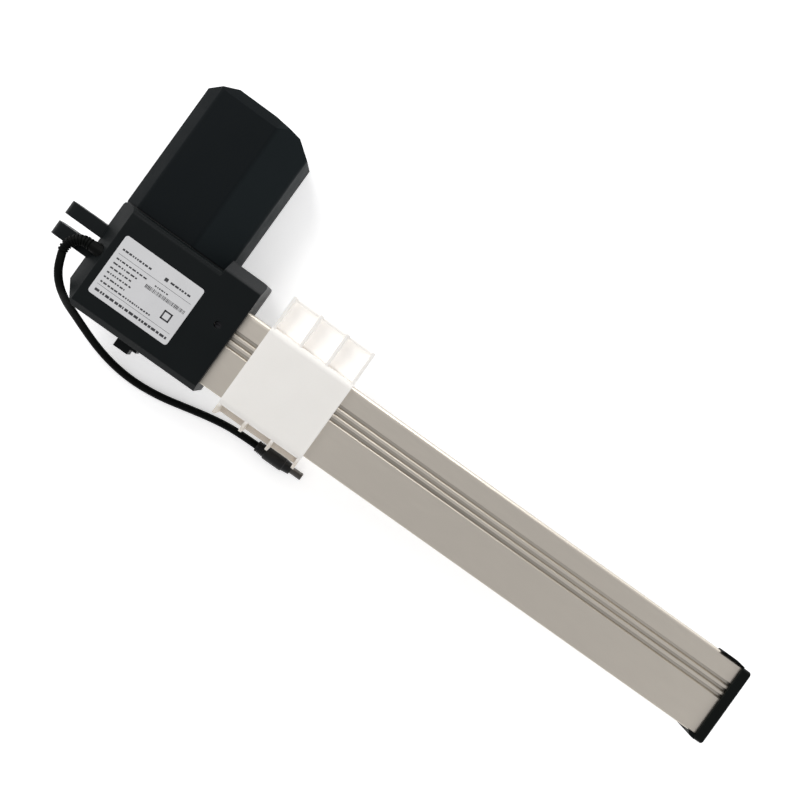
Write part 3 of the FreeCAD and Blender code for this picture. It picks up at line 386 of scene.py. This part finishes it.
def make_finishes():
    """One material for each of the record's slots."""
    return {
        "case_plastic": case_plastic(),
        "cover_plastic": cover_plastic(),
        "cap_plastic": cap_plastic(),
        "carriage_plastic": nylon(),
        "nut_plastic": plain("nut_plastic_look", (0.72, 0.70, 0.62), 0.45),
        "rail_aluminium": rail_aluminium(),
        "steel": metal("steel_look", (0.56, 0.56, 0.57), 0.28),
        "can_steel": metal("can_steel_look", (0.50, 0.51, 0.52), 0.38),
        "bearing_steel": metal("bearing_steel_look", (0.70, 0.70, 0.71), 0.14),
        "lamination_steel": metal("lamination_look", (0.26, 0.26, 0.27), 0.5),
        "copper": metal("copper_look", (0.62, 0.30, 0.16), 0.35),
        "ferrite": plain("ferrite_look", (0.045, 0.045, 0.05), 0.7),
        "carbon": plain("carbon_look", (0.03, 0.03, 0.03), 0.6),
        "bronze": metal("bronze_look", (0.50, 0.36, 0.17), 0.42),
        "wheel_plastic": plain("wheel_plastic_look", (0.78, 0.74, 0.62), 0.45),
        # Painted shade: the screw steel is coloured nearly black in place of the shade in its recess.
        "screw_steel": metal("screw_steel_shaded_look", (0.035, 0.035, 0.038), 0.46),
        "label_film": plain("label_film_look", (0.66, 0.66, 0.665), 0.35, vary=0.025, bump=0.03),
        "gasket_rubber": plain("gasket_rubber_look", (0.015, 0.015, 0.016), 0.75),
        "cord_rubber": plain("cord_rubber_look", (0.0018, 0.0023, 0.0019), 0.55, vary=0.2, grain=2400,
                             bump=0.16, specular=0.08),
        "plug_plastic": plain("plug_plastic_look", (0.0060, 0.0062, 0.0062), 0.40, vary=0.15,
                              specular=0.3),
        "plug_metal": metal("plug_metal_look", (0.10, 0.094, 0.088), 0.36),
        "board": plain("board_look", (0.03, 0.14, 0.06), 0.4, vary=0.2),
        "switch_plastic": plain("switch_plastic_look", (0.02, 0.02, 0.022), 0.4, vary=0.15),
    }


def dress_nodes(finishes):
    """Gives each CAD node the finish of its slot."""
    slots = {part["node"]: part["material_slot"] for part in frame["record"]["subparts"]}
    for name, node in nodes.items():
        finish = finishes[slots[name]]
        if not node.material_slots:
            node.data.materials.append(finish)
        for place in node.material_slots:
            place.material = finish


# ---- pieces built here ----------------------------------------------------------------------------------

def new_piece(name, mesh, body, finish, smooth_angle=40):
    """Makes a mesh into a smooth-shaded piece that rides on a body."""
    for face in mesh.polygons:
        face.use_smooth = True
    mesh.set_sharp_from_angle(angle=math.radians(smooth_angle))
    mesh.materials.append(finish)
    piece = bpy.data.objects.new(name, mesh)
    bpy.context.collection.objects.link(piece)
    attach(piece, body)
    return piece


def ring_mesh(name, rings):
    """A mesh through rings of equal length, with each end closed by one face."""
    count = len(rings[0])
    points = [point for ring in rings for point in ring]
    faces = []
    for row in range(len(rings) - 1):
        for k in range(count):
            a, b = row * count + k, row * count + (k + 1) % count
            faces.append((a, b, b + count, a + count))
    faces.append(tuple(reversed(range(count))))
    faces.append(tuple(range((len(rings) - 1) * count, len(rings) * count)))
    mesh = bpy.data.meshes.new(name)
    mesh.from_pydata(points, [], faces)
    mesh.update()
    return mesh


def circle(centre, first, second, radius, count=40):
    """Points round a circle that starts along first and turns towards second."""
    ring = []
    for k in range(count):
        angle = 2 * math.pi * k / count
        ring.append(centre + first * (radius * math.cos(angle)) + second * (radius * math.sin(angle)))
    return ring


def lathe(name, start, profile):
    """A turned piece along +X from start; profile is pairs of distance along and radius, in millimetres."""
    rings = []
    for along, radius in profile:
        centre = Vector(start) + Vector((along * MM, 0, 0))
        rings.append(circle(centre, ACROSS, UP, radius * MM))
    return ring_mesh(name, rings)


def add_cable(finishes):
    """The cable, as one smooth curve along its route."""
    curve = bpy.data.curves.new("cable_cord", "CURVE")
    curve.dimensions = "3D"
    curve.bevel_depth = CABLE_DIAMETER / 2
    curve.bevel_resolution = 6
    curve.use_fill_caps = True
    spline = curve.splines.new("NURBS")
    spline.points.add(len(CABLE_ROUTE) - 1)
    for point, place in zip(spline.points, CABLE_ROUTE):
        point.co = (*place, 1)
    spline.order_u = 3
    spline.use_endpoint_u = True
    spline.resolution_u = 12
    curve.materials.append(finishes["cord_rubber"])
    cable = bpy.data.objects.new("cable_cord", curve)
    bpy.context.collection.objects.link(cable)
    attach(cable, "frame")
    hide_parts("cable")
    return cable


def add_plug(finishes):
    """The plug's ringed grip and its hollow barrel."""
    end = CABLE_ROUTE[-1]
    profile = [(0, 4.0), (0.4, 4.2)]
    for rib in range(5):
        along = 1.0 + rib * 1.25
        wide = 4.35 + 0.08 * rib
        profile += [(along, wide), (along + 0.55, wide)]
        profile += [(along + 0.7, wide - 0.45), (along + 1.1, wide - 0.45)]
    profile += [(7.6, 5.0), (8.4, 5.35), (9.4, 5.4), (22.6, 5.4)]
    profile += [(23.6, 5.25), (24.0, 4.7), (29.2, 4.05), (30, 3.9)]
    grip = new_piece("plug_body", lathe("plug_body", end, profile), "frame", finishes["plug_plastic"])
    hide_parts("plug_grip")
    tip = (end[0] + 30 * MM, end[1], end[2])
    sleeve = [(-0.4, 2.7), (8.8, 2.75), (9.2, 2.68), (9.4, 2.5), (9.4, 1.35), (9.1, 1.25), (1.0, 1.2)]
    barrel = new_piece("plug_sleeve", lathe("plug_sleeve", tip, sleeve), "frame", finishes["plug_metal"],
                       smooth_angle=50)
    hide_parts("plug_barrel")
    return [grip, barrel]


def relief_bend_x():
    """Where along the rail the strain relief starts to bend."""
    return CABLE_ROUTE[0][0] + RELIEF_BEND * math.sin(RELIEF_TURN)


def relief_path(distance):
    """Where the strain relief's middle is at a distance from its start, and the way that it runs there."""
    start_x, start_y = RELIEF_START
    height = CABLE_ROUTE[0][2]
    straight = start_x - relief_bend_x()
    if distance < straight:
        return Vector((start_x - distance, start_y, height)), Vector((-1, 0, 0))
    angle = (distance - straight) / RELIEF_BEND
    place_x = relief_bend_x() - RELIEF_BEND * math.sin(angle)
    place_y = start_y - RELIEF_BEND * (1 - math.cos(angle))
    return Vector((place_x, place_y, height)), Vector((-math.cos(angle), -math.sin(angle), 0))


def add_strain_relief(finishes):
    """A tapered boot with a row of ribs along its bent part."""
    total = RELIEF_START[0] - relief_bend_x() + RELIEF_BEND * RELIEF_TURN
    steps = 150
    ribs = 12
    ribs_from = 0.30
    rings = []
    for step in range(steps + 1):
        share = step / steps
        place, along = relief_path(total * share)
        radius = 0.0043 - 0.0010 * share
        phase = ((share - ribs_from) / (1 - ribs_from) * ribs) % 1.0
        if share > ribs_from and 0.55 < phase < 0.95:
            radius -= 0.0007
        rings.append(circle(place, along.cross(UP), UP, radius, 36))
    boot = new_piece("relief_boot", ring_mesh("relief_boot", rings), "frame", finishes["cord_rubber"],
                     smooth_angle=35)
    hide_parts("strain_relief")


def thread_radius(along, angle):
    """The radius of a trapezoidal right-hand thread."""
    phase = (along / THREAD_LEAD - angle / (2 * math.pi)) % 1.0
    height = min(1.0, max(0.0, (0.34 - abs(phase - 0.5)) / 0.12))
    return 4.9 + 1.05 * height


def add_lead_screw(finishes):
    """The lead screw with its thread, between plain journals."""
    low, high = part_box("lead_screw")
    count = 28

    def journal_ring(along):
        return circle(Vector((along * MM, 0, 0)), ACROSS, UP, JOURNAL_RADIUS * MM, count)

    rings = [journal_ring(low[0] / MM), journal_ring(THREAD_START)]
    rows = int((THREAD_END - THREAD_START) / 0.5)
    for row in range(rows + 1):
        along = THREAD_START + (THREAD_END - THREAD_START) * row / rows
        ring = []
        for k in range(count):
            angle = 2 * math.pi * k / count
            radius = thread_radius(along, angle) * MM
            ring.append(Vector((along * MM, radius * math.cos(angle), radius * math.sin(angle))))
        rings.append(ring)
    rings += [journal_ring(THREAD_END), journal_ring(high[0] / MM)]
    screw = new_piece("threaded_screw", ring_mesh("threaded_screw", rings), "screw", finishes["steel"],
                      smooth_angle=50)
    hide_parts("lead_screw")


def flat_marks(name, marks, height, body, finish):
    """Thin printed marks: one quad for each (x, y, width, tall), in millimetres, at one height."""
    points, faces = [], []
    for x, y, width, tall in marks:
        first = len(points)
        for dx, dy in ((0, 0), (width, 0), (width, tall), (0, tall)):
            points.append(((x + dx) * MM, (y + dy) * MM, height))
        faces.append((first, first + 1, first + 2, first + 3))
    mesh = bpy.data.meshes.new(name)
    mesh.from_pydata(points, [], faces)
    mesh.update()
    return new_piece(name, mesh, body, finish)


def word_line(rng, x, y, length, tall, shortest=1.2, longest=5.0):
    """A row of dashes that stands for a line of small print."""
    marks = []
    end = x + length
    while x < end - shortest:
        width = min(rng.uniform(shortest, longest), end - x)
        marks.append((x, y, width, tall))
        x += width + rng.uniform(0.5, 0.9)
    return marks


def bars(rng, x, y, length, tall):
    """A strip of upright bars of uneven width."""
    marks = []
    end = x + length
    while x < end:
        width = rng.choice((0.22, 0.35, 0.55))
        marks.append((x, y, width, tall))
        x += width + rng.choice((0.3, 0.4, 0.6))
    return marks


def square_mark(x, y, size, line):
    """An empty square drawn with four bars."""
    far = size - line
    return [(x, y, size, line), (x, y + far, size, line), (x, y, line, size), (x + far, y, line, size)]


def add_label_print():
    """Generic print on the label: dashes for text, rules, a strip of bars and an empty square."""
    low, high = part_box("rating_label")
    left, top = low[0] / MM, high[1] / MM
    rng = random.Random(7)
    marks = word_line(rng, left + 3.2, top - 9.6, 22, 1.3, 0.9, 3.0)
    marks += word_line(rng, left + 40, top - 9.4, 16, 1.3, 0.9, 3.0)
    marks += [(left + 35.5, top - 10.0, 2.6, 2.4)]
    marks += [(left + 2.4, top - 12.8, 56, 0.22), (left + 2.4, top - 36.2, 56, 0.22)]
    for row, length in enumerate((24, 18, 16, 18, 17)):
        marks += word_line(rng, left + 3.2, top - 16.4 - 3.5 * row, length, 1.05, 0.8, 3.2)
    marks += word_line(rng, left + 3.2, top - 34.2, 38, 1.1, 0.8, 2.6)
    marks += word_line(rng, left + 33, top - 16.6, 11, 0.9, 0.7, 1.8)
    marks += bars(rng, left + 28, top - 20.8, 30, 2.6)
    marks += word_line(rng, left + 3.2, top - 40.6, 55, 1.7, 0.8, 3.4)
    marks += square_mark(left + 47, top - 31.2, 6.4, 1.1)
    ink = plain("label_ink", (0.028, 0.028, 0.031), 0.5, vary=0.2)
    flat_marks("label_print", marks, high[2] + 0.00002, "frame", ink)


def add_scene():
    """Sets up the studio, gives the CAD nodes their finishes and adds the pieces built here."""
    add_camera()
    add_world()
    add_light("key", (-0.70, 0.60, 1.00), (0.15, 0.0, 0.0), 0.8, 8)
    add_light("side", (0.25, 1.25, 0.22), (0.2, 0.0, 0.0), 0.7, 3.5)
    add_light("end", (1.35, -0.25, 0.20), (0.2, 0.0, 0.0), 0.5, 3)
    add_floor()
    bpy.context.scene.view_settings.view_transform = "Standard"
    bpy.context.scene.view_settings.look = "None"
    finishes = make_finishes()
    dress_nodes(finishes)
    cable = add_cable(finishes)
    plug = add_plug(finishes)
    add_strain_relief(finishes)
    add_lead_screw(finishes)
    add_label_print()


add_scene()
